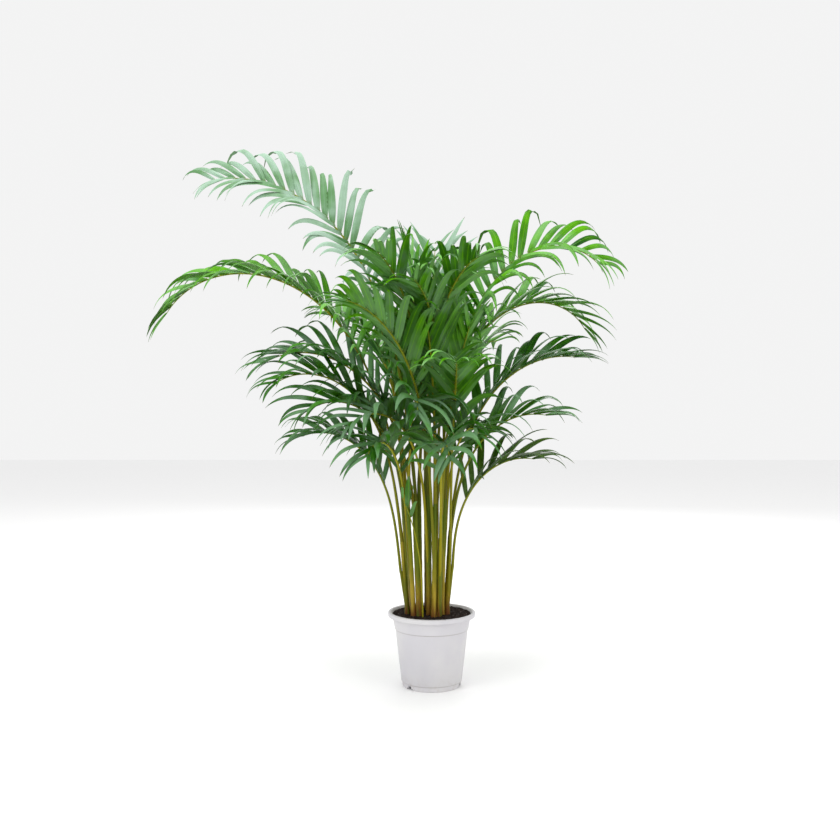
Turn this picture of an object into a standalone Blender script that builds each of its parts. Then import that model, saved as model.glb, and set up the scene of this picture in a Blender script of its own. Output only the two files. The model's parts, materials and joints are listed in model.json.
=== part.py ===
"""Areca palm: a clump of young stems, each with a few feather fronds, planted in a round nursery pot.

Metres and degrees, +Z up. The origin is the middle of the pot's flat base, which stands on Z = 0.
A frond is one grown piece: its petiole, its rachis and its leaflets.
"""

import random
from functools import partial
from math import cos, radians, sin

import bmesh
import bpy
import numpy as np
from mathutils import Matrix, Vector
from mathutils.bvhtree import BVHTree

GAP = 0.0003

# Pot: one moulded shell
POT_STEPS = 48
POT_HEIGHT = 0.202
POT_RIM_RADIUS = 0.120
POT_LIP = 0.012
MOUTH_FLARE = 0.0055
POT_COLLAR_TOP_RADIUS = 0.1078
POT_COLLAR_FOOT_RADIUS = 0.1014
POT_STEP_Z = 0.156
POT_BODY_RADIUS = 0.0996
POT_FOOT_Z = 0.014
POT_FOOT_TOP_RADIUS = 0.0834
POT_FOOT_RADIUS = 0.0812
POT_WALL = 0.0018
POT_FLOOR = 0.0020
ARCH_ANGLES = (102, 222, 342)
ARCH_WIDTH = 0.026
ARCH_HEIGHT = 0.011
ARCH_DEPTH = 0.016
DRAIN_RADIUS = 0.0035

# Soil: a plug that fills the pot to just under its rim
SOIL_EDGE_Z = 0.1955
SOIL_MIDDLE_Z = 0.2005
PLANTED = 0.030

# Stems: place at the soil, azimuth and lean, height above the soil
STEM_FOOT_RADIUS = 0.0062
STEM_TOP_RADIUS = 0.0044
STEM_SIDES = 6
STEMS = (
    (-0.066, -0.012, 190, 4.5, 0.20),
    (-0.054, 0.022, 160, 3.5, 0.25),
    (-0.049, -0.036, 215, 3.5, 0.30),
    (-0.036, -0.006, 185, 2.5, 0.30),
    (-0.060, 0.050, 150, 4.5, 0.31),
    (-0.034, 0.038, 120, 2.5, 0.28),
    (-0.008, -0.034, 260, 3.0, 0.33),
    (-0.006, 0.008, 90, 1.0, 0.32),
    (0.011, -0.012, 300, 1.5, 0.27),
    (0.010, 0.042, 85, 3.5, 0.24),
    (0.020, -0.044, 285, 4.0, 0.28),
    (0.028, 0.010, 20, 2.0, 0.30),
    (0.042, -0.018, 340, 2.5, 0.22),
    (0.040, 0.034, 40, 4.0, 0.20),
    (-0.030, -0.024, 240, 1.5, 0.36),
    (-0.009, 0.028, 100, 1.5, 0.40),
    (-0.051, 0.004, 180, 3.5, 0.34),
    (0.012, 0.020, 60, 1.0, 0.42),
    (0.027, -0.027, 310, 2.5, 0.32),
    (0.025, 0.050, 60, 3.5, 0.33),
    (-0.013, 0.055, 100, 3.0, 0.36),
    (0.005, -0.052, 280, 3.5, 0.31),
    (-0.035, -0.041, 200, 1.5, 0.30),
)

# Fronds: name, stem, share of the stem's height where it leaves it, azimuth, length,
# lean at the foot and at the tip, how late it bends, sideways swing, bare share of its length,
# roll about its rachis, how far its leaflets spread from it and how far they sag
OUTER_FRONDS = (
    ("upper_left", 5, 1.0, 174, 1.24, 6, 100, 2.5, 4, 0.47, -50, 56, 2.0),
    ("left_long", 1, 1.0, 184, 1.15, 10, 150, 2.3, -6, 0.40, -16, 48, 2.1),
    ("left_mid", 3, 1.0, 186, 0.66, 10, 120, 2.0, 0, 0.42, -20, 48, 1.5),
    ("left_low", 0, 1.0, 196, 0.66, 7, 124, 2.5, 6, 0.46, -15, 48, 1.6),
    ("left_lowest", 0, 0.6, 182, 0.53, 6, 112, 2.4, -8, 0.46, -20, 48, 1.6),
    ("top_back", 7, 1.0, 84, 0.75, 2, 38, 2.0, 0, 0.60, 0, 52, 0.4),
    ("upper_right", 11, 1.0, 4, 0.98, 5, 138, 3.3, 0, 0.45, 42, 58, 2.2),
    ("right_arch", 9, 1.0, 14, 0.94, 5, 150, 2.8, 0, 0.52, 10, 50, 1.4),
    ("right_mid", 13, 1.0, 8, 0.70, 6, 98, 2.1, -6, 0.50, 15, 48, 1.3),
    ("right_low", 12, 1.0, -8, 0.47, 8, 102, 2.0, 0, 0.46, 10, 48, 1.3),
    ("right_lowest", 12, 0.6, 2, 0.42, 3, 100, 1.8, 0, 0.46, 10, 48, 1.2),
    ("centre_front", 8, 1.0, 160, 0.72, 0, 18, 1.6, 0, 0.50, 0, 46, 0.6),
)
# Whorls that fill the crown: name, number, first azimuth, step, lean, arch, bend, length,
# bare share, spread and sag
WHORLS = (
    ("young", 6, 20, 62, 2, 28, 1.6, 0.52, 0.44, 42, 0.6),
    ("back", 5, 58, 17, 5, 88, 2.0, 0.70, 0.50, 48, 1.4),
    ("front", 5, 230, 17, 4, 80, 2.2, 0.66, 0.50, 46, 1.6),
    ("skirt", 6, 222, 15, 5, 128, 1.9, 0.47, 0.44, 48, 1.8),
)
WHORL_SEED = 7
SHARES = (1.0, 0.78, 0.56, 0.36)
ROOM_WANTED = 0.013
OUTWARD_PULL = 0.03
PETIOLE_HALF = 0.0030
TIP_HALF = 0.0011
PETIOLE_RINGS = 5
LINE_STEPS = 240
PLAN_STEPS = 180
SIDE_ROOM = 0.0006
FOOT_LIFT = 0.0010

# Leaflets: two rows in a V, longest a third of the way up the blade
PAIRS = 7
LEAFLET_LENGTH = 0.215
LEAFLET_WIDTH = 0.018
LEAFLET_THICK = 0.0014
LEAFLET_FOOT = 0.009
LEAFLET_TRIES = ((0, 0), (0, 0.3), (10, 0), (-10, 0.2), (0, -0.4), (18, 0.5), (-18, 0.6), (0, 1.0))

# Seedling: a small late shoot at the front of the clump
SEEDLING = ("seedling", 178, 0.345, 1, 26, 2.0, 0, 0.84, 0, 62, 1.0)
SEEDLING_FOOT = (-0.024, -0.058)
SEEDLING_LEAFLET = 0.100
SEEDLING_HALF = 0.0016


def clear_scene():
    for item in list(bpy.data.objects):
        bpy.data.objects.remove(item)


def new_collection(name):
    made = bpy.data.collections.new(name)
    bpy.context.scene.collection.children.link(made)
    return made


def new_material(name, colour, roughness):
    made = bpy.data.materials.new(name)
    made.use_nodes = True
    shader = made.node_tree.nodes["Principled BSDF"]
    shader.inputs["Base Color"].default_value = (*colour, 1)
    shader.inputs["Roughness"].default_value = roughness
    shader.inputs["Metallic"].default_value = 0
    return made


def add_object(name, mesh, home, material=None):
    made = bpy.data.objects.new(name, mesh)
    home.objects.link(made)
    if material:
        mesh.materials.append(material)
    return made


def turned(name, outline, home, material=None):
    """A profile of (radius, height) points, down its outer side first, turned about Z."""
    mesh = bpy.data.meshes.new(name)
    points = [(radius, 0, height) for radius, height in outline]
    mesh.from_pydata(points, [(i, i + 1) for i in range(len(points) - 1)], [])
    made = add_object(name, mesh, home, material)
    screw = made.modifiers.new("Turn", "SCREW")
    screw.steps = POT_STEPS
    screw.render_steps = POT_STEPS
    screw.use_merge_vertices = True
    screw.merge_threshold = 0.0001
    return made


def cutter(made):
    made.hide_render = True
    made.display_type = "WIRE"
    return made


def cut(target, tool):
    boolean = target.modifiers.new("Cut " + tool.name, "BOOLEAN")
    boolean.operation = "DIFFERENCE"
    boolean.solver = "EXACT"
    boolean.object = tool


def arch_cutter(name, margin, home):
    """Round-topped boxes across the corner of wall and floor, one at each arch angle."""
    body = bmesh.new()
    half = ARCH_WIDTH / 2 + margin
    height = ARCH_HEIGHT + margin
    inner = POT_FOOT_RADIUS - ARCH_DEPTH - margin
    outer = POT_FOOT_RADIUS + 0.012
    for angle in ARCH_ANGLES:
        place = Matrix.Rotation(radians(angle), 4, "Z")
        size = Matrix.Diagonal((outer - inner, 2 * half, height + 0.006, 1))
        middle = Matrix.Translation(((outer + inner) / 2, 0, (height - 0.006) / 2))
        made = bmesh.ops.create_cube(body, size=1, matrix=place @ middle @ size)
        corners = set(made["verts"])
        roof = [
            edge
            for edge in body.edges
            if set(edge.verts) <= corners
            and all(vert.co.z > 0 for vert in edge.verts)
            and abs((edge.verts[0].co - edge.verts[1].co).length - (outer - inner)) < 1e-6
        ]
        bmesh.ops.bevel(body, geom=roof, offset=half * 0.55, segments=3, affect="EDGES")
    mesh = bpy.data.meshes.new(name)
    body.to_mesh(mesh)
    body.free()
    return cutter(add_object(name, mesh, home))


def drain_cutter(home):
    """A small round hole up through the roof of each arch."""
    body = bmesh.new()
    middle = POT_FOOT_RADIUS - ARCH_DEPTH * 0.58
    for angle in ARCH_ANGLES:
        place = Matrix.Rotation(radians(angle), 4, "Z") @ Matrix.Translation((middle, 0, ARCH_HEIGHT))
        bmesh.ops.create_cone(
            body,
            cap_ends=True,
            segments=12,
            radius1=DRAIN_RADIUS,
            radius2=DRAIN_RADIUS,
            depth=0.010,
            matrix=place,
        )
    mesh = bpy.data.meshes.new("drain_cutter")
    body.to_mesh(mesh)
    body.free()
    return cutter(add_object("drain_cutter", mesh, home))


def inner_wall(height, margin):
    """Radius of the pot's inside at a height, moved in by a margin."""
    wall = POT_WALL + margin
    lip_foot = POT_HEIGHT - POT_LIP
    if height > lip_foot:
        return POT_COLLAR_TOP_RADIUS + MOUTH_FLARE * (height - lip_foot) / POT_LIP - wall
    if height >= POT_STEP_Z - POT_WALL:
        share = (height - POT_STEP_Z) / (lip_foot - POT_STEP_Z)
        return POT_COLLAR_FOOT_RADIUS + (POT_COLLAR_TOP_RADIUS - POT_COLLAR_FOOT_RADIUS) * share - wall
    share = (height - POT_FOOT_Z) / (POT_STEP_Z - POT_FOOT_Z)
    return POT_FOOT_TOP_RADIUS + (POT_BODY_RADIUS - POT_FOOT_TOP_RADIUS) * share - wall


def inside_outline(floor, top, margin):
    """The pot's inside from its mouth to its floor, as a closed plug between two heights."""
    ledge = POT_STEP_Z - POT_WALL
    return [
        (0, top),
        (inner_wall(top, margin), top),
        (inner_wall(POT_HEIGHT - POT_LIP, margin), POT_HEIGHT - POT_LIP),
        (inner_wall(POT_STEP_Z, margin), POT_STEP_Z),
        (inner_wall(ledge - 0.002, margin), ledge - 0.002),
        (inner_wall(0.022, margin), 0.022),
        (inner_wall(0.022, margin) - 0.003, floor),
        (0, floor),
    ]


def make_pot(home, cutters):
    lip_foot = POT_HEIGHT - POT_LIP
    shell = turned(
        "pot",
        [
            (0, POT_HEIGHT),
            (POT_RIM_RADIUS - 0.0025, POT_HEIGHT),
            (POT_RIM_RADIUS - 0.0006, POT_HEIGHT - 0.0012),
            (POT_RIM_RADIUS, POT_HEIGHT - 0.0035),
            (POT_RIM_RADIUS - 0.0006, lip_foot + 0.0008),
            (POT_RIM_RADIUS - 0.0022, lip_foot),
            (POT_COLLAR_TOP_RADIUS, lip_foot - 0.0004),
            (POT_COLLAR_FOOT_RADIUS, POT_STEP_Z),
            (POT_BODY_RADIUS, POT_STEP_Z - 0.0015),
            (POT_FOOT_TOP_RADIUS, POT_FOOT_Z),
            (POT_FOOT_RADIUS, POT_FOOT_Z - 0.0012),
            (POT_FOOT_RADIUS - 0.0012, 0.0012),
            (POT_FOOT_RADIUS - 0.0026, 0),
            (0, 0),
        ],
        home,
        new_material("pot_plastic", (0.66, 0.65, 0.66), 0.45),
    )
    hollow = cutter(turned("hollow", inside_outline(POT_FLOOR, POT_HEIGHT + 0.01, 0), cutters))
    cut(hollow, arch_cutter("arch_roofs", POT_WALL, cutters))
    cut(shell, hollow)
    cut(shell, arch_cutter("arches", 0, cutters))
    cut(shell, drain_cutter(cutters))
    return shell


def travel(foot, azimuth, lean, arch, bend, length, swing, steps):
    """Points along a line that leaves its foot at a lean from upright and arches over to another."""
    share = (np.arange(steps) + 0.5) / steps
    tilt = np.radians(lean + (arch - lean) * share**bend)
    heading = np.radians(azimuth + swing * share * share)
    level = np.sin(tilt)
    moves = np.stack([level * np.cos(heading), level * np.sin(heading), np.cos(tilt)], 1)
    return np.vstack([[foot], np.array(foot) + np.cumsum(moves * (length / steps), 0)])


def stem_axis(stem, reach):
    x, y, azimuth, lean, _ = STEMS[stem]
    level = sin(radians(lean)) * reach
    heading = radians(azimuth)
    height = SOIL_EDGE_Z + cos(radians(lean)) * reach
    return np.array((x + level * cos(heading), y + level * sin(heading), height))


def frond_foot(stem, share, azimuth):
    """The middle of a petiole's foot: on top of its stem, or beside it lower down."""
    height = STEMS[stem][4]
    foot = stem_axis(stem, height * share)
    if share == 1.0:
        return foot + np.array((0, 0, FOOT_LIFT))
    radius = STEM_FOOT_RADIUS + (STEM_TOP_RADIUS - STEM_FOOT_RADIUS) * share
    beside = radius + PETIOLE_HALF * 2**0.5 + SIDE_ROOM
    return foot + beside * np.array((cos(radians(azimuth)), sin(radians(azimuth)), 0))


def frond_line(frond, steps):
    _, stem, share, azimuth, length, lean, arch, bend, swing, *_ = frond
    return travel(frond_foot(stem, share, azimuth), azimuth, lean, arch, bend, length, swing, steps)


def seedling_line(steps):
    _, azimuth, length, lean, arch, bend, swing, *_ = SEEDLING
    foot = (*SEEDLING_FOOT, SOIL_EDGE_Z - PLANTED / 2)
    return travel(foot, azimuth, lean, arch, bend, length, swing, steps)


def room_between(line, other):
    return np.sqrt(((line[:, None] - other[None]) ** 2).sum(2)).min()


def plan_fronds():
    """The outer fronds, then each whorl's: every one leaves the stem that gives it the most room."""
    chance = random.Random(WHORL_SEED)
    fronds = list(OUTER_FRONDS)
    lines = [frond_line(frond, PLAN_STEPS) for frond in fronds] + [seedling_line(PLAN_STEPS)]
    stems = [np.linspace(stem_axis(i, 0), stem_axis(i, STEMS[i][4]), 40) for i in range(len(STEMS))]
    taken = {frond[1:3] for frond in fronds}
    for name, count, first, step, lean, arch, bend, length, bare, spread, sag in WHORLS:
        for number in range(count):
            azimuth = first + step * number + chance.uniform(-6, 6)
            shape = (
                azimuth,
                length * chance.uniform(0.9, 1.1),
                lean + chance.uniform(0, 2),
                arch + chance.uniform(-8, 8),
                bend,
                chance.uniform(-12, 12),
                bare,
                chance.uniform(-35, 35),
                spread,
                sag,
            )
            best = None
            for stem, (x, y, *_) in enumerate(STEMS):
                free = [share for share in SHARES if (stem, share) not in taken]
                if not free:
                    continue
                frond = (f"{name}_{number + 1}", stem, free[0], *shape)
                line = frond_line(frond, PLAN_STEPS)
                others = lines + [axis for i, axis in enumerate(stems) if i != stem]
                room = min(room_between(line, other) for other in others)
                outward = x * cos(radians(azimuth)) + y * sin(radians(azimuth))
                score = min(room, ROOM_WANTED) + OUTWARD_PULL * outward
                if best is None or score > best[0]:
                    best = (score, frond, line)
            fronds.append(best[1])
            lines.append(best[2])
            taken.add(best[1][1:3])
    return fronds


def tapered(name, line, radii, sides, home, material):
    """A bar with round-about sections square to its line, started as a cone and extruded."""
    body = bmesh.new()
    face = start_bar(body, line, radii, sides)
    for i in range(2, len(line)):
        face = grow_bar(body, face, line, radii, sides, i)
    mesh = bpy.data.meshes.new(name)
    body.to_mesh(mesh)
    body.free()
    return add_object(name, mesh, home, material)


def frame_at(line, i, roll=0):
    """Ahead, side and up of a line at a point, rolled about it; unrolled, up faces the clump's middle."""
    ahead = Vector(line[min(i + 1, len(line) - 1)]) - Vector(line[max(i - 1, 0)])
    ahead.normalize()
    reach = Vector(line[-1]) - Vector(line[0])
    side = Vector((0, 0, 1)).cross(Vector((reach.x, reach.y, 0))).normalized()
    side = (side - ahead * side.dot(ahead)).normalized()
    side = Matrix.Rotation(radians(roll), 3, ahead) @ side
    return ahead, side, ahead.cross(side)


def ring_points(line, radii, sides, i, roll):
    _, side, up = frame_at(line, i, roll)
    middle = Vector(line[i])
    turn = 360 / sides
    spots = [radians(turn * (k + 0.5)) for k in range(sides)]
    return [middle + (side * cos(spot) + up * sin(spot)) * radii[i] for spot in spots]


def start_bar(body, line, radii, sides, roll=0):
    made = bmesh.ops.create_cone(body, cap_ends=True, segments=sides, radius1=1, radius2=1, depth=1)
    low = sorted((vert for vert in made["verts"] if vert.co.z < 0), key=spin)
    high = sorted((vert for vert in made["verts"] if vert.co.z > 0), key=spin)
    for vert, place in zip(low, ring_points(line, radii, sides, 0, roll)):
        vert.co = place
    for vert, place in zip(high, ring_points(line, radii, sides, 1, roll)):
        vert.co = place
    return next(face for face in body.faces if set(face.verts) == set(high))


def spin(vert):
    return np.arctan2(vert.co.y, vert.co.x) % (2 * np.pi)


def grow_bar(body, face, line, radii, sides, i, roll=0):
    """Extrude the bar's end face to its next ring and give back the new end face."""
    old = ring_points(line, radii, sides, i - 1, roll)
    new = ring_points(line, radii, sides, i, roll)
    face = bmesh.ops.extrude_discrete_faces(body, faces=[face])["faces"][0]
    for vert in face.verts:
        nearest = min(range(sides), key=lambda k: (old[k] - vert.co).length)
        vert.co = new[nearest]
    return face


def sort_sides(body, line, i, roll):
    """The two side faces of the bar between ring i - 1 and ring i, left and right."""
    _, side, _ = frame_at(line, i, roll)
    middle = (Vector(line[i]) + Vector(line[i - 1])) / 2
    found = {}
    for face in body.faces:
        face.normal_update()
        if (face.calc_center_median() - middle).length < LEAFLET_FOOT * 0.6:
            slant = face.normal.dot(side)
            if abs(slant) > 0.9:
                found[1 if slant > 0 else -1] = face
    return found


def leaflet_line(foot, ahead, side, up, share, length, spread, sag, steps):
    """A leaflet's midline: out from the rachis in the V, then bowing down; share runs up the blade."""
    sweep = radians(spread - 20 * share)
    rise = radians(34 - 16 * share)
    start = ahead * cos(sweep) + (side * cos(rise) + up * sin(rise)) * sin(sweep)
    points = [foot]
    for i in range(steps):
        reach = (i + 0.5) / steps
        way = start + Vector((0, 0, -1)) * sag * reach**3
        points.append(points[-1] + way.normalized() * (length / steps))
    return points


def leaflet_rings(face, ahead, side, up, share, length, spread, sag):
    """Corner places for the leaflet's mid ring and its tip, in the order of the face's corners."""
    foot = face.calc_center_median()
    spine = leaflet_line(foot, ahead, side, up, share, length, spread, sag, 6)
    way = (spine[3] - spine[2]).normalized()
    across = (ahead - way * ahead.dot(way)).normalized()
    normal = way.cross(across)
    normal = -normal if normal.dot(up) < 0 else normal
    ring = []
    for vert in face.verts:
        off = vert.co - foot
        wide = LEAFLET_WIDTH / 2 * (1 if off.dot(ahead) > 0 else -1)
        thick = LEAFLET_THICK / 2 * (1 if off.dot(up) > 0 else -1)
        ring.append(spine[3] + across * wide + normal * thick)
    return ring, spine[-1]


def leaflet_tree(face, ring, tip):
    """The would-be leaflet as a small tree, a little larger all round, to test against its neighbours."""
    centre = face.calc_center_median()
    middle = sum(ring, Vector()) / 4
    root = [centre + (vert.co - centre) * 1.1 + face.normal * 0.0006 for vert in face.verts]
    grown = [middle + (place - middle) * 1.12 + (place - middle).normalized() * 0.0006 for place in ring]
    far = tip + (tip - middle).normalized() * 0.002
    corners = root + grown + [far]
    walls = [(k, (k + 1) % 4, 4 + (k + 1) % 4, 4 + k) for k in range(4)]
    roof = [(4 + k, 4 + (k + 1) % 4, 8) for k in range(4)]
    return BVHTree.FromPolygons(corners, walls + roof + [(3, 2, 1, 0)])


def add_leaflet(body, face, ring, tip):
    old = [vert.co.copy() for vert in face.verts]
    face = bmesh.ops.extrude_discrete_faces(body, faces=[face])["faces"][0]
    for vert in face.verts:
        nearest = min(range(4), key=lambda k: (old[k] - vert.co).length)
        vert.co = ring[nearest]
    face = bmesh.ops.extrude_discrete_faces(body, faces=[face])["faces"][0]
    bmesh.ops.pointmerge(body, verts=list(face.verts), merge_co=tip)


def rachis_rings(line_for, length, bare, pairs, half):
    """Middles and radii of the rings: the petiole's, two for each pair of leaflets, and the tip's."""
    shares = [bare * i / (PETIOLE_RINGS + 1) for i in range(PETIOLE_RINGS + 1)]
    pitch = (1 - bare) / pairs
    for pair in range(pairs):
        low = bare + pitch * (pair + 0.25)
        shares += [low, low + LEAFLET_FOOT / length]
    shares.append(1.0)
    fine = line_for(LINE_STEPS)
    line = [fine[round(share * LINE_STEPS)] for share in shares]
    return line, [(half + (TIP_HALF - half) * share) * 2**0.5 for share in shares]


def rachis_body(line_for, frond, pairs, half):
    """A frond's petiole and rachis as one four-sided bar, and the line that its rings sit on."""
    length, bare, roll = frond[-9], frond[-4], frond[-3]
    line, radii = rachis_rings(line_for, length, bare, pairs, half)
    body = bmesh.new()
    face = start_bar(body, line, radii, 4, roll)
    for i in range(2, len(line)):
        face = grow_bar(body, face, line, radii, 4, i, roll)
    return body, line


def add_frond(name, line_for, frond, pairs, leaflet, half, obstacles, home, material):
    """A frond: its rachis, and a leaflet out of each free side face."""
    body, line = rachis_body(line_for, frond, pairs, half)
    roll, spread, sag = frond[-3:]
    own = [BVHTree.FromBMesh(body)]
    for pair in range(pairs):
        ring = PETIOLE_RINGS + 2 + 2 * pair
        share = (pair + 0.5) / pairs
        ahead, side, up = frame_at(line, ring, roll)
        for hand, face in sorted(sort_sides(body, line, ring, roll).items()):
            long = leaflet * (0.72 + 1.1 * share - 1.35 * share * share)
            for turn, more in LEAFLET_TRIES:
                bent = (spread + turn, sag + more)
                places, tip = leaflet_rings(face, ahead, side * hand, up, share, long, *bent)
                tree = leaflet_tree(face, places, tip)
                if not any(tree.overlap(other) for other in own + obstacles):
                    add_leaflet(body, face, places, tip)
                    own.append(tree)
                    break
    mesh = bpy.data.meshes.new(name)
    body.to_mesh(mesh)
    obstacles.append(BVHTree.FromBMesh(body))
    body.free()
    return add_object(name, mesh, home, material)


def bar_tree(frond):
    """The room that a frond's bare bar takes up, kept free for it while others grow their leaflets."""
    body, _ = rachis_body(partial(frond_line, frond), frond, PAIRS, PETIOLE_HALF + SIDE_ROOM)
    found = BVHTree.FromBMesh(body)
    body.free()
    return found


def make_stems(home, cutters, material):
    """The stems, and one cutter for each that makes its socket in the soil."""
    made = []
    sockets = []
    for i, (*_, height) in enumerate(STEMS):
        reaches = [-PLANTED, 0.0, height / 2, height]
        line = [stem_axis(i, reach) for reach in reaches]
        middle = (STEM_FOOT_RADIUS + STEM_TOP_RADIUS) / 2
        radii = [STEM_FOOT_RADIUS, STEM_FOOT_RADIUS, middle, STEM_TOP_RADIUS]
        made.append(tapered(f"stem_{i + 1:02}", line, radii, STEM_SIDES, home, material))
        low = stem_axis(i, -PLANTED - GAP)
        high = stem_axis(i, 0.02)
        wide = [STEM_FOOT_RADIUS + GAP * 1.2] * 2
        sockets.append(cutter(tapered(f"socket_{i + 1:02}", [low, high], wide, STEM_SIDES, cutters, None)))
    return made, sockets


def tree_of(made):
    body = bmesh.new()
    body.from_mesh(made.data)
    found = BVHTree.FromBMesh(body)
    body.free()
    return found


def make_soil(home, cutters, sockets):
    outline = inside_outline(POT_FLOOR + GAP, SOIL_EDGE_Z, GAP)
    outline[0] = (0, SOIL_MIDDLE_Z)
    outline.insert(1, (0.06, SOIL_MIDDLE_Z - 0.0015))
    soil = turned("soil", outline, home, new_material("potting_soil", (0.020, 0.012, 0.010), 0.95))
    cut(soil, arch_cutter("soil_arches", POT_WALL + GAP, cutters))
    for socket in sockets:
        cut(soil, socket)
    return soil


def main():
    clear_scene()
    plant = new_collection("potted_palm")
    cutters = new_collection("cutters")
    cane = new_material("cane", (0.20, 0.14, 0.035), 0.5)
    leaf = new_material("frond_green", (0.045, 0.17, 0.018), 0.42)
    make_pot(plant, cutters)
    stems, sockets = make_stems(plant, cutters, cane)
    fronds = plan_fronds()
    obstacles = [tree_of(stem) for stem in stems]
    reserved = {frond[0]: bar_tree(frond) for frond in fronds}

    around = obstacles + list(reserved.values())
    small = (2, SEEDLING_LEAFLET, SEEDLING_HALF)
    add_frond("seedling", seedling_line, SEEDLING, *small, around, plant, leaf)
    obstacles.append(around[-1])
    seedling = seedling_line(24)
    hole = [seedling[0] - np.array((0, 0, GAP)), seedling[4]]
    wide = [SEEDLING_HALF * 2**0.5 + GAP * 1.5] * 2
    sockets.append(cutter(tapered("socket_seedling", hole, wide, 4, cutters, None)))
    make_soil(plant, cutters, sockets)

    full = (PAIRS, LEAFLET_LENGTH, PETIOLE_HALF)
    for frond in fronds:
        around = obstacles + [tree for other, tree in reserved.items() if other != frond[0]]
        add_frond("frond_" + frond[0], partial(frond_line, frond), frond, *full, around, plant, leaf)
        obstacles.append(around[-1])
    for made in plant.objects:
        made.data.shade_smooth()
        made.data.set_sharp_from_angle(angle=radians(40))


main()
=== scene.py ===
import json
import random
from math import cos, pi, radians, sin, sqrt

import bmesh
import bpy
import numpy as np
from mathutils import Matrix, Vector, noise

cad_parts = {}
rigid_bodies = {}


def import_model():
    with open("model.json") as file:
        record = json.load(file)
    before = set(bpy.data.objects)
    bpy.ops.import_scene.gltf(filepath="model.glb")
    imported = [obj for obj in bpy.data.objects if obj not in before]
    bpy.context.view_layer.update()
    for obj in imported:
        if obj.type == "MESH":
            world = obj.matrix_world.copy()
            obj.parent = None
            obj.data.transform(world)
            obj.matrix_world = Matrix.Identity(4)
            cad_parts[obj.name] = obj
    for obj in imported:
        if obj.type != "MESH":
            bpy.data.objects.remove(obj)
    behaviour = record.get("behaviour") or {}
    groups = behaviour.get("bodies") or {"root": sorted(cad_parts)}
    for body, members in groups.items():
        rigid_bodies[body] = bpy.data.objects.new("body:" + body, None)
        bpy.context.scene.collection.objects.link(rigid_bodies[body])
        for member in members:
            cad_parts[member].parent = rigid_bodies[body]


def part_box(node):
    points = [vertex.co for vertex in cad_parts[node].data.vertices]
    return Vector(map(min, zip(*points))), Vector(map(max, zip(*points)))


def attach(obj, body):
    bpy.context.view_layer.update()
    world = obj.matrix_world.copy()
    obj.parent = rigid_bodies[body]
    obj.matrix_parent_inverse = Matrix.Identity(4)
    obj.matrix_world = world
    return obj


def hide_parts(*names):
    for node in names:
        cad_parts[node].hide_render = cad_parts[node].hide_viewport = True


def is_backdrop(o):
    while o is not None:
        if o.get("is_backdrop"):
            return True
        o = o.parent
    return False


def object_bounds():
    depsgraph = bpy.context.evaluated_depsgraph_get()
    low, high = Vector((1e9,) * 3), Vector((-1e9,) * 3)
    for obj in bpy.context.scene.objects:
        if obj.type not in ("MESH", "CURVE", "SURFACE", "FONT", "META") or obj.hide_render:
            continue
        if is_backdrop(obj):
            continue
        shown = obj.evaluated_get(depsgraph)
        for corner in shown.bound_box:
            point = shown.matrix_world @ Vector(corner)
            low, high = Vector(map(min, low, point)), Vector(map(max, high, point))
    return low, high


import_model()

cad_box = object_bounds()

# ---------------------------------------------------------------- studio
# A seamless pale floor under the pot, lit by large soft boxes: one overhead, one at each side
# and a weak one behind, in an almost white room.

FLOOR_HALF = 14.0
CAMERA_PLACE = (-0.032, -2.5, 0.729)
CAMERA_ANGLE = radians(49.75)
ROOM_STRENGTH = 0.90


def add_soft_box(name, place, target, size, power, colour=(1, 1, 1)):
    light = bpy.data.lights.new(name, "AREA")
    light.shape = "DISK"
    light.size = size
    light.energy = power
    light.color = colour
    made = bpy.data.objects.new(name, light)
    bpy.context.scene.collection.objects.link(made)
    made.location = place
    made.rotation_euler = (Vector(target) - made.location).to_track_quat("-Z", "Y").to_euler()


def studio():
    body = bmesh.new()
    bmesh.ops.create_grid(body, x_segments=1, y_segments=1, size=FLOOR_HALF)
    mesh = bpy.data.meshes.new("floor")
    body.to_mesh(mesh)
    body.free()
    floor = bpy.data.objects.new("floor", mesh)
    bpy.context.scene.collection.objects.link(floor)
    finish = bpy.data.materials.new("studio_floor")
    finish.use_nodes = True
    shader = finish.node_tree.nodes["Principled BSDF"]
    shader.inputs["Base Color"].default_value = (0.93, 0.93, 0.93, 1)
    shader.inputs["Roughness"].default_value = 0.9
    mesh.materials.append(finish)
    floor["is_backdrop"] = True

    world = bpy.data.worlds.new("studio")
    world.use_nodes = True
    sky = world.node_tree.nodes["Background"]
    sky.inputs["Color"].default_value = (1, 1, 1, 1)
    sky.inputs["Strength"].default_value = ROOM_STRENGTH
    bpy.context.scene.world = world

    crown = (0, 0, 0.8)
    add_soft_box("overhead", (-0.3, -0.5, 4.2), crown, 3.0, 85, (1.0, 0.99, 0.96))
    add_soft_box("left_front", (-3.2, -3.0, 2.6), crown, 2.6, 50)
    add_soft_box("right_front", (3.2, -2.8, 2.2), crown, 2.6, 32, (1.0, 0.97, 0.94))
    add_soft_box("behind", (0.6, 4.0, 2.8), crown, 3.0, 40)

    lens = bpy.data.cameras.new("camera")
    lens.sensor_width = 36
    lens.angle = CAMERA_ANGLE
    camera = bpy.data.objects.new("camera", lens)
    bpy.context.scene.collection.objects.link(camera)
    camera.location = CAMERA_PLACE
    camera.rotation_euler = (radians(90), 0, 0)
    bpy.context.scene.camera = camera
    bpy.context.scene.view_settings.view_transform = "Standard"


studio()

# ---------------------------------------------------------------- pot
# A nursery pot, injection-moulded in one piece from pale grey polypropylene: a tapered wall under
# a wider collar, a rolled rim, and a foot with three arched drain recesses. It stands on its base.

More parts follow.
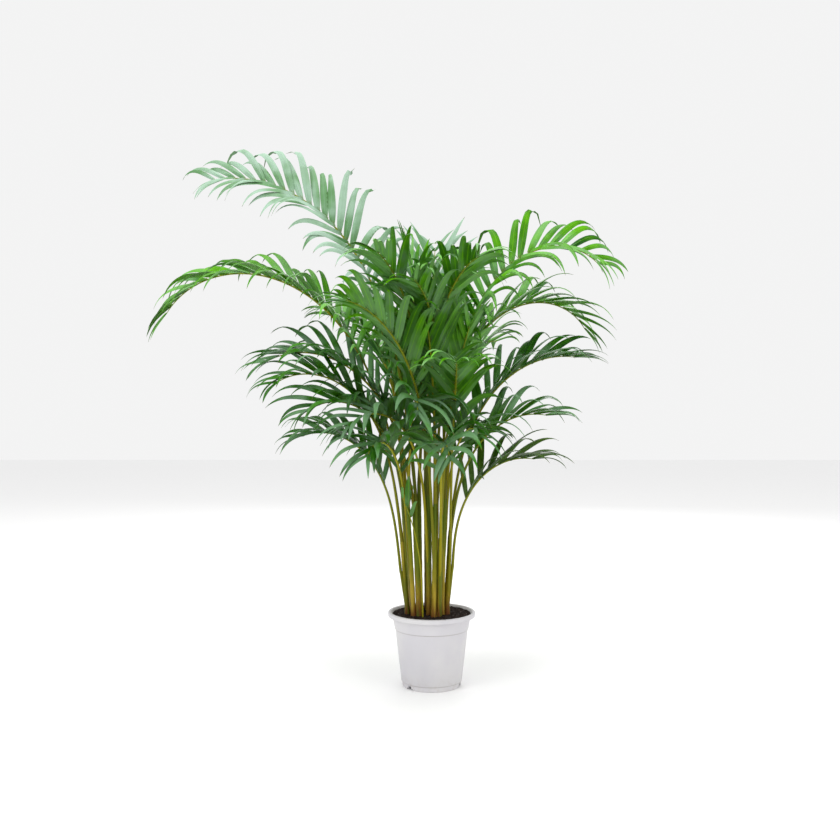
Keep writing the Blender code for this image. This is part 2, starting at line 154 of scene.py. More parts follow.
POT_STEPS = 144
POT_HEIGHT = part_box("pot")[1][2]
POT_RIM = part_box("pot")[1][0]
LIP = 0.012
MOUTH_FLARE = 0.0055
COLLAR_TOP = 0.1078
COLLAR_FOOT = 0.1014
STEP_Z = 0.156
BODY_TOP = 0.0996
FOOT_Z = 0.014
FOOT_TOP = 0.0834
FOOT_BASE = 0.0812
WALL = 0.0018
FLOOR_THICK = 0.0020
ARCH_ANGLES = (102, 222, 342)
ARCH_WIDTH = 0.026
ARCH_HEIGHT = 0.011
ARCH_DEPTH = 0.016
DRAIN_RADIUS = 0.0035


class Wire:
    """A node's output that takes part in sums, in a shader's tree or a geometry tree."""

    def __init__(self, socket):
        self.socket = socket

    def out(self, name):
        return Wire(self.socket.node.outputs[name])

    def __add__(self, other):
        return total("ADD", self, other)

    def __radd__(self, other):
        return total("ADD", other, self)

    def __sub__(self, other):
        return total("SUBTRACT", self, other)

    def __rsub__(self, other):
        return total("SUBTRACT", other, self)

    def __mul__(self, other):
        return total("MULTIPLY", self, other)

    def __rmul__(self, other):
        return total("MULTIPLY", other, self)

    def __truediv__(self, other):
        return total("DIVIDE", self, other)

    def __pow__(self, other):
        return total("POWER", self, other)


def is_vector(value):
    return isinstance(value, tuple) or (isinstance(value, Wire) and value.socket.type in ("VECTOR", "RGBA"))


def total(operation, a, b):
    """A Math node for two numbers, or a Vector Math node where either side is a vector."""
    tree = (a if isinstance(a, Wire) else b).socket.id_data
    if is_vector(a) and is_vector(b):
        return add_node(tree, "ShaderNodeVectorMath", {"operation": operation}, {0: a, 1: b})
    if is_vector(a) or is_vector(b):
        vector, number = (a, b) if is_vector(a) else (b, a)
        return add_node(tree, "ShaderNodeVectorMath", {"operation": "SCALE"}, {0: vector, "Scale": number})
    return add_node(tree, "ShaderNodeMath", {"operation": operation}, {0: a, 1: b})


def add_node(tree, kind, settings=None, values=None, output=0):
    """A node of a kind: its settings, then its sockets' values or links; gives its output as a Wire."""
    made = tree.nodes.new(kind)
    for name, value in (settings or {}).items():
        if name == "stops":
            ramp = made.color_ramp.elements
            while len(ramp) < len(value):
                ramp.new(1)
            for element, (place, colour) in zip(ramp, value):
                element.position = place
                element.color = (*colour, 1)
        else:
            setattr(made, name, value)
    for name, value in (values or {}).items():
        socket = made.inputs[name]
        if isinstance(value, Wire):
            tree.links.new(value.socket, socket)
        else:
            socket.default_value = value
    return Wire(made.outputs[output]) if made.outputs else made


def number(tree, operation, a, b=0.0, c=0.0, clamp=False):
    settings = {"operation": operation, "use_clamp": clamp}
    return add_node(tree, "ShaderNodeMath", settings, {0: a, 1: b, 2: c})


def ramp_between(tree, value, low, high, smooth=True):
    """0 where the value is below low, 1 where it is above high."""
    settings = {"interpolation_type": "SMOOTHSTEP" if smooth else "LINEAR"}
    return add_node(tree, "ShaderNodeMapRange", settings, {0: value, 1: low, 2: high, 3: 0.0, 4: 1.0})


def blend(tree, factor, a, b):
    """Colour a towards colour b by a factor."""
    a, b = ((*v, 1) if isinstance(v, tuple) and len(v) == 3 else v for v in (a, b))
    return add_node(tree, "ShaderNodeMix", {"data_type": "RGBA"}, {0: factor, 6: a, 7: b}, 2)


def mottle(tree, place, scale, detail=3.0, roughness=0.5, distortion=0.0):
    values = {"Vector": place, "Scale": scale, "Detail": detail}
    values |= {"Roughness": roughness, "Distortion": distortion}
    return add_node(tree, "ShaderNodeTexNoise", {}, values)


def new_finish(name):
    """A material, its node tree, its Principled shader and its Object coordinates."""
    made = bpy.data.materials.new(name)
    made.use_nodes = True
    tree = made.node_tree
    shader = tree.nodes["Principled BSDF"]
    shader.inputs["Specular IOR Level"].default_value = 0.16
    place = add_node(tree, "ShaderNodeTexCoord").out("Object")
    return made, tree, shader, place


def plug(shader, **values):
    """Values or links for a shader's sockets, with _ for the spaces in their names."""
    for name, value in values.items():
        socket = shader.inputs[name.replace("_", " ")]
        if isinstance(value, Wire):
            shader.id_data.links.new(value.socket, socket)
        elif isinstance(value, tuple) and socket.type == "RGBA":
            socket.default_value = (*value, 1)
        else:
            socket.default_value = value


def bump(tree, height, strength, distance):
    values = {"Height": height, "Strength": strength, "Distance": distance}
    return add_node(tree, "ShaderNodeBump", {}, values)


def moulded_plastic():
    """Pale polypropylene: even, faintly mottled, with soil dust low down, and painted shade as a dark line
    under the collar's step and another round the foot.
    """
    made, tree, shader, place = new_finish("moulded_plastic")
    height = add_node(tree, "ShaderNodeSeparateXYZ", {}, {0: place}).out("Z")
    cloud = mottle(tree, place, 9.0, 4.0)
    grain = mottle(tree, place, 260.0, 2.0)
    scuffs = mottle(tree, place * (1.0, 1.0, 4.0), 46.0, 5.0, 0.7, 1.5)
    marks = ramp_between(tree, scuffs, 0.60, 0.78)
    low = 1 - ramp_between(tree, height, 0.004, 0.05)
    dust = low * ramp_between(tree, mottle(tree, place, 60.0, 5.0, 0.65), 0.42, 0.75)
    colour = blend(tree, ramp_between(tree, cloud, 0.35, 0.7), (0.57, 0.56, 0.59), (0.62, 0.61, 0.62))
    # Painted shade: dark lines at the step under the collar and round the foot, where the grooves would hold
    # shadow.
    painted_groove_shade = []
    for groove_height in (STEP_Z - 0.0008, FOOT_Z):
        aside = number(tree, "ABSOLUTE", height - groove_height)
        painted_groove_shade.append(1 - ramp_between(tree, aside, 0.0005, 0.0022))
    colour = blend(tree, number(tree, "MAXIMUM", *painted_groove_shade) * 0.45, colour, (0.30, 0.27, 0.25))
    colour = blend(tree, marks * 0.22, colour, (0.60, 0.58, 0.55))
    colour = blend(tree, dust * 0.35, colour, (0.42, 0.36, 0.30))
    plug(shader, Base_Color=colour, Roughness=0.40 + grain * 0.10 + marks * 0.12, Metallic=0.0)
    plug(shader, Normal=bump(tree, grain * 0.4 + marks * 0.6, 0.18, 0.0004))
    return made


def arc(middle, radius, start, end, steps):
    """Points on a round stretch of a profile, in degrees from +X."""
    turns = [radians(start + (end - start) * i / steps) for i in range(steps + 1)]
    return [(middle[0] + radius * cos(turn), middle[1] + radius * sin(turn)) for turn in turns]


def add_piece(name, mesh, finish=None):
    made = bpy.data.objects.new(name, mesh)
    bpy.context.scene.collection.objects.link(made)
    if finish:
        mesh.materials.append(finish)
    return made


def turned(name, outline, steps):
    mesh = bpy.data.meshes.new(name)
    mesh.from_pydata([(x, 0, z) for x, z in outline], [(i, i + 1) for i in range(len(outline) - 1)], [])
    made = add_piece(name, mesh)
    screw = made.modifiers.new("Turn", "SCREW")
    screw.steps = screw.render_steps = steps
    screw.use_merge_vertices = True
    screw.merge_threshold = 0.0001
    return made


def settled(made):
    """The object's evaluated shape as a plain mesh, with its modifiers gone."""
    mesh = bpy.data.meshes.new_from_object(made.evaluated_get(bpy.context.evaluated_depsgraph_get()))
    made.modifiers.clear()
    old = made.data
    made.data = mesh
    if old.users == 0:
        bpy.data.batch_remove([old])
    return made


def cut_away(target, tool):
    boolean = target.modifiers.new("Cut", "BOOLEAN")
    boolean.operation = "DIFFERENCE"
    boolean.solver = "EXACT"
    boolean.object = tool


def inner_radius(height, margin=0.0):
    lip_foot = POT_HEIGHT - LIP
    if height > lip_foot:
        return COLLAR_TOP + MOUTH_FLARE * (height - lip_foot) / LIP - WALL - margin
    if height >= STEP_Z - WALL:
        share = (height - STEP_Z) / (lip_foot - STEP_Z)
        return COLLAR_FOOT + (COLLAR_TOP - COLLAR_FOOT) * share - WALL - margin
    share = (height - FOOT_Z) / (STEP_Z - FOOT_Z)
    return FOOT_TOP + (BODY_TOP - FOOT_TOP) * share - WALL - margin


def arch_tool(name, margin):
    """Three round-topped boxes across the corner of wall and floor."""
    body = bmesh.new()
    half = ARCH_WIDTH / 2 + margin
    height = ARCH_HEIGHT + margin
    inner = FOOT_BASE - ARCH_DEPTH - margin
    outer = FOOT_BASE + 0.012
    for angle in ARCH_ANGLES:
        place = Matrix.Rotation(radians(angle), 4, "Z")
        size = Matrix.Diagonal((outer - inner, 2 * half, height + 0.006, 1))
        middle = Matrix.Translation(((outer + inner) / 2, 0, (height - 0.006) / 2))
        corners = set(bmesh.ops.create_cube(body, size=1, matrix=place @ middle @ size)["verts"])
        roof = []
        for edge in body.edges:
            along = abs((edge.verts[0].co - edge.verts[1].co).length - (outer - inner)) < 1e-6
            if along and set(edge.verts) <= corners and all(vert.co.z > 0 for vert in edge.verts):
                roof.append(edge)
        bmesh.ops.bevel(body, geom=roof, offset=half * 0.55, segments=5, affect="EDGES")
    mesh = bpy.data.meshes.new(name)
    body.to_mesh(mesh)
    body.free()
    return add_piece(name, mesh)


def drain_tool():
    body = bmesh.new()
    for angle in ARCH_ANGLES:
        middle = Matrix.Translation((FOOT_BASE - ARCH_DEPTH * 0.58, 0, ARCH_HEIGHT))
        place = Matrix.Rotation(radians(angle), 4, "Z") @ middle
        sizes = {"radius1": DRAIN_RADIUS, "radius2": DRAIN_RADIUS, "depth": 0.010}
        bmesh.ops.create_cone(body, cap_ends=True, segments=24, matrix=place, **sizes)
    mesh = bpy.data.meshes.new("drain_tool")
    body.to_mesh(mesh)
    body.free()
    return add_piece("drain_tool", mesh)


def make_pot():
    lip_foot = POT_HEIGHT - LIP
    roll = 0.0030
    outline = [(0, POT_HEIGHT)]
    outline += arc((POT_RIM - roll, POT_HEIGHT - roll), roll, 90, 0, 6)
    outline += arc((POT_RIM - 0.0011, lip_foot + 0.0011), 0.0011, 0, -90, 3)
    outline += [(COLLAR_TOP + 0.0014, lip_foot), (COLLAR_TOP + 0.0003, lip_foot - 0.0006)]
    outline += [(COLLAR_TOP - 0.0001, lip_foot - 0.0022), (COLLAR_FOOT + 0.0004, STEP_Z + 0.0016)]
    outline += arc((COLLAR_FOOT - 0.0005, STEP_Z + 0.0008), 0.0008, 0, -90, 3)
    outline += [(BODY_TOP + 0.0003, STEP_Z - 0.0003), (BODY_TOP, STEP_Z - 0.0014)]
    outline += [(FOOT_TOP + 0.0001, FOOT_Z + 0.0006), (FOOT_TOP - 0.0006, FOOT_Z - 0.0002)]
    outline += [(FOOT_BASE, FOOT_Z - 0.0012), (FOOT_BASE - 0.0010, 0.0022)]
    outline += arc((FOOT_BASE - 0.0030, 0.0020), 0.0020, 0, -90, 4)
    outline += [(0, 0)]
    top = POT_HEIGHT + 0.01
    inside = [(0, top), (inner_radius(top), top)]
    inside += [(inner_radius(POT_HEIGHT) + 0.0016, POT_HEIGHT + 0.0001)]
    inside += [(inner_radius(POT_HEIGHT - 0.0015), POT_HEIGHT - 0.0015), (inner_radius(lip_foot), lip_foot)]
    inside += [(inner_radius(STEP_Z), STEP_Z), (inner_radius(STEP_Z - WALL - 0.002), STEP_Z - WALL - 0.002)]
    inside += [(inner_radius(0.022), 0.022), (inner_radius(0.022) - 0.003, FLOOR_THICK), (0, FLOOR_THICK)]
    pot = turned("nursery_pot", outline, POT_STEPS)
    hollow = turned("hollow", inside, POT_STEPS)
    tools = [arch_tool("arch_roofs", WALL), hollow, arch_tool("arches", 0.0), drain_tool()]
    cut_away(hollow, tools[0])
    for tool in tools[1:]:
        cut_away(pot, tool)
    settled(pot)
    for tool in tools:
        bpy.data.objects.remove(tool)
    pot.data.materials.clear()
    pot.data.materials.append(moulded_plastic())
    pot.data.shade_smooth()
    pot.data.set_sharp_from_angle(angle=radians(38))
    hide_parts("pot")
    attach(pot, "root")


make_pot()

# ---------------------------------------------------------------- soil
# Dark peat-based potting soil, firmed in by hand round the stems. Its loose top is all crumbs,
# bits of fibre and a little white perlite, and it stops just under the rim.

SOIL_EDGE_Z = 0.1955
SOIL_MIDDLE_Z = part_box("soil")[1][2]
SOIL_STEPS = 96
SOIL_RINGS = 26
CRUMBS = 2600
GRITS = 60
GAP = 0.0003


def peat(name, dark, light, roughness):
    made, tree, shader, place = new_finish(name)
    clods = mottle(tree, place, 120.0, 6.0, 0.7)
    fine = mottle(tree, place, 700.0, 3.0, 0.6)
    colour = blend(tree, ramp_between(tree, clods, 0.35, 0.72), dark, light)
    plug(shader, Base_Color=colour, Roughness=roughness + fine * 0.2, Metallic=0.0)
    plug(shader, Normal=bump(tree, clods * 0.7 + fine * 0.3, 0.6, 0.0012))
    return made


def soil_top(x, y):
    """Height of the soil: a low mound with hand-firmed unevenness."""
    reach = sqrt(x * x + y * y) / inner_radius(SOIL_EDGE_Z)
    mound = SOIL_EDGE_Z + (SOIL_MIDDLE_Z - 0.0026 - SOIL_EDGE_Z) * (1 - reach * reach)
    lumps = noise.noise(Vector((x, y, 0)) * 38) * 0.0016 + noise.noise(Vector((x, y, 3)) * 110) * 0.0012
    return mound + lumps


def scatter_tree(crumb_finish):
    """Crumbs strewn on the faces of a surface that look up: named sizes, number and seed."""
    tree = bpy.data.node_groups.new("strewn_crumbs", "GeometryNodeTree")
    face = tree.interface
    face.new_socket("Geometry", in_out="OUTPUT", socket_type="NodeSocketGeometry")
    face.new_socket("Geometry", in_out="INPUT", socket_type="NodeSocketGeometry")
    sockets = (("Crumbs per m2", "Float"), ("Smallest", "Float"), ("Largest", "Float"), ("Seed", "Int"))
    for name, kind in sockets:
        face.new_socket(name, in_out="INPUT", socket_type="NodeSocket" + kind)
    given = add_node(tree, "NodeGroupInput")
    normal = add_node(tree, "GeometryNodeInputNormal")
    upward = add_node(tree, "ShaderNodeSeparateXYZ", {}, {0: normal}).out("Z")
    looks_up = add_node(tree, "FunctionNodeCompare", {"operation": "GREATER_THAN"}, {0: upward, 1: 0.7})
    spread = {"Mesh": given, "Selection": looks_up}
    spread |= {"Density": given.out("Crumbs per m2"), "Seed": given.out("Seed")}
    points = add_node(tree, "GeometryNodeDistributePointsOnFaces", {"distribute_method": "RANDOM"}, spread)
    ball = add_node(tree, "GeometryNodeMeshIcoSphere", {}, {"Radius": 1.0, "Subdivisions": 1})
    size_range = {2: given.out("Smallest"), 3: given.out("Largest"), "Seed": given.out("Seed")}
    size = add_node(tree, "FunctionNodeRandomValue", {"data_type": "FLOAT"}, size_range, 1)
    settings = {"data_type": "FLOAT_VECTOR"}
    shapes = {0: (0.6, 0.6, 0.45), 1: (1.3, 1.3, 0.9), "Seed": 5}
    shape = add_node(tree, "FunctionNodeRandomValue", settings, shapes)
    turns = {0: (0, 0, 0), 1: (6.3, 6.3, 6.3), "Seed": 9}
    turn = add_node(tree, "FunctionNodeRandomValue", settings, turns)
    on = {"Points": points, "Instance": ball, "Rotation": turn, "Scale": shape * size}
    crumbs = add_node(tree, "GeometryNodeInstanceOnPoints", {}, on)
    real = add_node(tree, "GeometryNodeRealizeInstances", {}, {0: crumbs})
    dressed = add_node(tree, "GeometryNodeSetMaterial", {}, {"Geometry": real, "Material": crumb_finish})
    add_node(tree, "NodeGroupOutput", {}, {0: dressed})
    return tree


def set_inputs(modifier, values):
    """A modifier's inputs by name, set by their sockets' identifiers."""
    for item in modifier.node_group.interface.items_tree:
        if item.in_out == "INPUT" and item.name in values:
            modifier[item.identifier] = values[item.name]


def strew(ground, name, finish, density, smallest, largest, seed):
    made = add_piece(name, ground.data.copy())
    modifier = made.modifiers.new("Strew", "NODES")
    modifier.node_group = scatter_tree(finish)
    values = {"Crumbs per m2": density, "Smallest": smallest, "Largest": largest, "Seed": seed}
    set_inputs(modifier, values)
    settled(made)
    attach(made, "root")


def make_soil():
    body = bmesh.new()
    edge = inner_radius(SOIL_EDGE_Z, GAP * 2)
    rings = []
    for ring in range(1, SOIL_RINGS + 1):
        reach = edge * ring / SOIL_RINGS
        turns = [2 * pi * i / SOIL_STEPS for i in range(SOIL_STEPS)]
        places = [(reach * cos(turn), reach * sin(turn)) for turn in turns]
        rings.append([body.verts.new((x, y, soil_top(x, y))) for x, y in places])
    sides = [(POT_HEIGHT - LIP, 0), (STEP_Z, 0.0005), (STEP_Z - 0.006, 0.0005)]
    sides += [(0.022, 0.0005), (0.003, 0.02)]
    for height, inset in sides:
        reach = inner_radius(height, GAP * 2) - inset
        turns = [2 * pi * i / SOIL_STEPS for i in range(SOIL_STEPS)]
        rings.append([body.verts.new((reach * cos(turn), reach * sin(turn), height)) for turn in turns])
    for inner, outer in zip(rings, rings[1:]):
        for i in range(SOIL_STEPS):
            j = (i + 1) % SOIL_STEPS
            body.faces.new((inner[i], outer[i], outer[j], inner[j]))
    middle = body.verts.new((0, 0, soil_top(0, 0)))
    for i in range(SOIL_STEPS):
        body.faces.new((middle, rings[0][i], rings[0][(i + 1) % SOIL_STEPS]))
    body.faces.new(list(reversed(rings[-1])))
    mesh = bpy.data.meshes.new("soil_plug")
    body.to_mesh(mesh)
    body.free()
    soil = add_piece("soil_plug", mesh, peat("peat", (0.008, 0.005, 0.004), (0.030, 0.019, 0.014), 0.75))
    mesh.shade_smooth()
    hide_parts("soil")
    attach(soil, "root")
    area = pi * edge * edge
    crumb = peat("crumb_peat", (0.010, 0.006, 0.005), (0.050, 0.032, 0.022), 0.8)
    strew(soil, "soil_crumbs", crumb, CRUMBS / area, 0.0008, 0.0024, 3)
    perlite = peat("perlite", (0.30, 0.27, 0.23), (0.55, 0.52, 0.47), 0.7)
    strew(soil, "perlite_grits", perlite, GRITS / area, 0.0006, 0.0013, 8)


make_soil()

# ---------------------------------------------------------------- stems
# The clump's canes: short pseudostems of tightly rolled leaf sheaths, maroon brown and fibrous at
# the soil, olive to yellow above, ringed where old leaves came away. They are rooted in the soil.

STEM_FOOT_RADIUS = 0.0062
STEM_TOP_RADIUS = 0.0044
SHEATH_SWELL = 0.0009
PLANTED = 0.030
STEMS = (
    (-0.066, -0.012, 190, 4.5, 0.20),
    (-0.054, 0.022, 160, 3.5, 0.25),
    (-0.049, -0.036, 215, 3.5, 0.30),
    (-0.036, -0.006, 185, 2.5, 0.30),
    (-0.060, 0.050, 150, 4.5, 0.31),
    (-0.034, 0.038, 120, 2.5, 0.28),
    (-0.008, -0.034, 260, 3.0, 0.33),
    (-0.006, 0.008, 90, 1.0, 0.32),
    (0.011, -0.012, 300, 1.5, 0.27),
    (0.010, 0.042, 85, 3.5, 0.24),
    (0.020, -0.044, 285, 4.0, 0.28),
    (0.028, 0.010, 20, 2.0, 0.30),
    (0.042, -0.018, 340, 2.5, 0.22),
    (0.040, 0.034, 40, 4.0, 0.20),
    (-0.030, -0.024, 240, 1.5, 0.36),
    (-0.009, 0.028, 100, 1.5, 0.40),
    (-0.051, 0.004, 180, 3.5, 0.34),
    (0.012, 0.020, 60, 1.0, 0.42),
    (0.027, -0.027, 310, 2.5, 0.32),
    (0.025, 0.050, 60, 3.5, 0.33),
    (-0.013, 0.055, 100, 3.0, 0.36),
    (0.005, -0.052, 280, 3.5, 0.31),
    (-0.035, -0.041, 200, 1.5, 0.30),
)


def stem_axis(stem, reach):
    x, y, azimuth, lean, _ = STEMS[stem]
    level = sin(radians(lean)) * reach
    heading = radians(azimuth)
    height = SOIL_EDGE_Z + cos(radians(lean)) * reach
    return np.array((x + level * cos(heading), y + level * sin(heading), height))


def line_mesh(name, points, **attributes):
    """A chain of edges through points, with a number for each point under each given name."""
    mesh = bpy.data.meshes.new(name)
    mesh.from_pydata([tuple(point) for point in points], [(i, i + 1) for i in range(len(points) - 1)], [])
    for label, values in attributes.items():
        mesh.attributes.new(label, "FLOAT", "POINT").data.foreach_set("value", [float(v) for v in values])
    return mesh


def cane_finish():
    """Rolled sheaths: brown at the soil, olive and yellow above, with long fibres and brown rings."""
    made, tree, shader, place = new_finish("cane_sheath")
    height = add_node(tree, "ShaderNodeSeparateXYZ", {}, {0: place}).out("Z")
    fibres = mottle(tree, place * (1.0, 1.0, 0.035), 1500.0, 3.0, 0.6)
    patches = mottle(tree, place * (1.0, 1.0, 0.25), 90.0, 4.0, 0.6)
    shade = mottle(tree, place * (1.0, 1.0, 0.1), 55.0, 1.0)
    share = ramp_between(tree, height + patches * 0.09 - 0.045, 0.17, 0.47, False)
    stops = [(0.0, (0.050, 0.016, 0.009)), (0.10, (0.15, 0.050, 0.009)), (0.26, (0.24, 0.17, 0.008))]
    stops += [(0.60, (0.16, 0.17, 0.002)), (1.0, (0.09, 0.13, 0.001))]
    colour = add_node(tree, "ShaderNodeValToRGB", {"stops": stops}, {0: share})
    colour = blend(tree, ramp_between(tree, shade, 0.54, 0.64) * 0.6, colour, (0.40, 0.30, 0.030))
    colour = blend(tree, (1 - ramp_between(tree, shade, 0.36, 0.46)) * 0.7, colour, (0.075, 0.12, 0.004))
    colour = blend(tree, ramp_between(tree, fibres, 0.50, 0.72) * 0.45, colour, (0.075, 0.045, 0.012))
    scars = ramp_between(tree, mottle(tree, place, 220.0, 3.0), 0.64, 0.74)
    colour = blend(tree, scars * 0.7, colour, (0.050, 0.025, 0.012))
    plug(shader, Base_Color=colour, Roughness=0.42 + fibres * 0.2, Metallic=0.0)
    plug(shader, Normal=bump(tree, fibres + scars * 0.3, 0.35, 0.0006))
    return made


def cane_tree(finish):
    """A tube along a chain of points, as thick as their radius says, with a ring of sides."""
    tree = bpy.data.node_groups.new("sheathed_cane", "GeometryNodeTree")
    face = tree.interface
    face.new_socket("Geometry", in_out="OUTPUT", socket_type="NodeSocketGeometry")
    face.new_socket("Geometry", in_out="INPUT", socket_type="NodeSocketGeometry")
    face.new_socket("Sides", in_out="INPUT", socket_type="NodeSocketInt")
    given = add_node(tree, "NodeGroupInput")
    tube = tube_along(tree, given, named_number(tree, "radius"), given.out("Sides"))
    dressed = add_node(tree, "GeometryNodeSetMaterial", {}, {"Geometry": tube, "Material": finish})
    add_node(tree, "NodeGroupOutput", {}, {0: dressed})
    return tree


def named_number(tree, name):
    return add_node(tree, "GeometryNodeInputNamedAttribute", {"data_type": "FLOAT"}, {"Name": name})


def tube_along(tree, chain, radius, sides):
    """The chain as a curve with round sections of a radius, capped at its ends."""
    curve = add_node(tree, "GeometryNodeMeshToCurve", {}, {"Mesh": chain})
    curve = add_node(tree, "GeometryNodeSetCurveRadius", {}, {"Curve": curve, "Radius": radius})
    ring = add_node(tree, "GeometryNodeCurvePrimitiveCircle", {}, {"Resolution": sides, "Radius": 1.0})
    values = {"Curve": curve, "Profile Curve": ring, "Fill Caps": True}
    made = add_node(tree, "GeometryNodeCurveToMesh", {}, values)
    if "Scale" in made.socket.node.inputs:
        tree.links.new(radius.socket, made.socket.node.inputs["Scale"])
    return made


def make_stems():
    chance = random.Random(21)
    tree = cane_tree(cane_finish())
    for i, (*_, height) in enumerate(STEMS):
        reaches = np.linspace(-PLANTED * 0.5, height, 60)
        scars = [height * (0.12 + 0.16 * k) + chance.uniform(-0.008, 0.008) for k in range(5)]
        radii = []
        for reach in reaches:
            share = max(reach, 0) / height
            radius = SHEATH_SWELL + STEM_FOOT_RADIUS + (STEM_TOP_RADIUS - STEM_FOOT_RADIUS) * share
            radius += 0.0013 * max(0, 1 - max(reach, 0) / 0.022)
            for scar in scars:
                past = reach - scar
                if 0 <= past < 0.035:
                    radius -= 0.00045 * (1 - past / 0.035)
            radii.append(radius)
        name = f"stem_{i + 1:02}"
        line = line_mesh(name, [stem_axis(i, reach) for reach in reaches], radius=radii)
        made = add_piece("cane_" + name[5:], line)
        modifier = made.modifiers.new("Cane", "NODES")
        modifier.node_group = tree
        set_inputs(modifier, {"Sides": 14})
        settled(made)
        made.data.shade_smooth()
        made.data.set_sharp_from_angle(angle=radians(50))
        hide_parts(name)
        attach(made, "root")


make_stems()

# ---------------------------------------------------------------- fronds
# The feather leaves. Each is one grown piece: a sheath that hugs its stem, a long yellow-green
# petiole that arches over as the rachis, and two rows of creased, pointed leaflets set in a V.

# Name, stem, share of the stem's height where it leaves it, azimuth, length, lean at the foot
# and at the tip, how late it bends, sideways swing, bare share of its length, roll about its
# rachis, how far its leaflets spread from it and how far they sag
OUTER_FRONDS = (
    ("upper_left", 5, 1.0, 174, 1.24, 6, 100, 2.5, 4, 0.47, -50, 56, 2.0),
    ("left_long", 1, 1.0, 184, 1.15, 10, 150, 2.3, -6, 0.40, -16, 48, 2.1),
    ("left_mid", 3, 1.0, 186, 0.66, 10, 120, 2.0, 0, 0.42, -20, 48, 1.5),
    ("left_low", 0, 1.0, 196, 0.66, 7, 124, 2.5, 6, 0.46, -15, 48, 1.6),
    ("left_lowest", 0, 0.6, 182, 0.53, 6, 112, 2.4, -8, 0.46, -20, 48, 1.6),
    ("top_back", 7, 1.0, 84, 0.75, 2, 38, 2.0, 0, 0.60, 0, 52, 0.4),
    ("upper_right", 11, 1.0, 4, 0.98, 5, 138, 3.3, 0, 0.45, 42, 58, 2.2),
    ("right_arch", 9, 1.0, 14, 0.94, 5, 150, 2.8, 0, 0.52, 10, 50, 1.4),
    ("right_mid", 13, 1.0, 8, 0.70, 6, 98, 2.1, -6, 0.50, 15, 48, 1.3),
    ("right_low", 12, 1.0, -8, 0.47, 8, 102, 2.0, 0, 0.46, 10, 48, 1.3),
    ("right_lowest", 12, 0.6, 2, 0.42, 3, 100, 1.8, 0, 0.46, 10, 48, 1.2),
    ("centre_front", 8, 1.0, 160, 0.72, 0, 18, 1.6, 0, 0.50, 0, 46, 0.6),
)
# Name, number, first azimuth, step, lean, arch, bend, length, bare share, spread and sag
WHORLS = (
    ("young", 6, 20, 62, 2, 28, 1.6, 0.52, 0.44, 42, 0.6),
    ("back", 5, 58, 17, 5, 88, 2.0, 0.70, 0.50, 48, 1.4),
    ("front", 5, 230, 17, 4, 80, 2.2, 0.66, 0.50, 46, 1.6),
    ("skirt", 6, 222, 15, 5, 128, 1.9, 0.47, 0.44, 48, 1.8),
)
WHORL_SEED = 7
SHARES = (1.0, 0.78, 0.56, 0.36)
ROOM_WANTED = 0.013
OUTWARD_PULL = 0.03
PETIOLE_HALF = 0.0030
SIDE_ROOM = 0.0006
FOOT_LIFT = 0.0010
SEEDLING = ("seedling", 178, 0.345, 1, 26, 2.0, 0, 0.84, 0, 62, 1.0)
SEEDLING_FOOT = (-0.024, -0.058)

LEAFLET_PITCH = 0.029
LEAFLET_LENGTH = 0.215
LEAFLET_WIDTH = 0.0225
FROND_TONES = {
    # The pale blue-green tone of the upper-left and back fronds is partly waxy bloom and partly painted
    # reflection of the overhead light.
    "upper_left": "bloom_painted_reflection",
    "left_long": "bright",
    "left_mid": "deep",
    "left_low": "deep",
    "left_lowest": "deep",
    "top_back": "bloom_painted_reflection",
    "upper_right": "bright",
    "right_arch": "bright",
    "right_mid": "deep",
    "right_low": "deep",
    "right_lowest": "olive",
    # The middle of the crown takes a brighter green with more sheen: painted light that makes up for the
    # shade there.
    "centre_front": "painted_lit_green",
    "young": "painted_lit_green",
    "back": "bright",
    "front": "painted_lit_green",
    "skirt": "deep",
}


def travel(foot, azimuth, lean, arch, bend, length, swing, steps):
    """Points along a line that leaves its foot at a lean from upright and arches over to another."""
    share = (np.arange(steps) + 0.5) / steps
    tilt = np.radians(lean + (arch - lean) * share**bend)
    heading = np.radians(azimuth + swing * share * share)
    level = np.sin(tilt)
    moves = np.stack([level * np.cos(heading), level * np.sin(heading), np.cos(tilt)], 1)
    return np.vstack([[foot], np.array(foot) + np.cumsum(moves * (length / steps), 0)])


def frond_foot(stem, share, azimuth):
    """The middle of a petiole's foot: on top of its stem, or beside it lower down."""
    height = STEMS[stem][4]
    foot = stem_axis(stem, height * share)
    if share == 1.0:
        return foot + np.array((0, 0, FOOT_LIFT))
    radius = STEM_FOOT_RADIUS + (STEM_TOP_RADIUS - STEM_FOOT_RADIUS) * share
    beside = radius + PETIOLE_HALF * 2**0.5 + SIDE_ROOM
    return foot + beside * np.array((cos(radians(azimuth)), sin(radians(azimuth)), 0))


def frond_line(frond, steps):
    _, stem, share, azimuth, length, lean, arch, bend, swing, *_ = frond
    return travel(frond_foot(stem, share, azimuth), azimuth, lean, arch, bend, length, swing, steps)


def seedling_line(steps):
    _, azimuth, length, lean, arch, bend, swing, *_ = SEEDLING
    foot = (*SEEDLING_FOOT, SOIL_EDGE_Z - PLANTED / 2)
    return travel(foot, azimuth, lean, arch, bend, length, swing, steps)


def room_between(line, other):
    return np.sqrt(((line[:, None] - other[None]) ** 2).sum(2)).min()


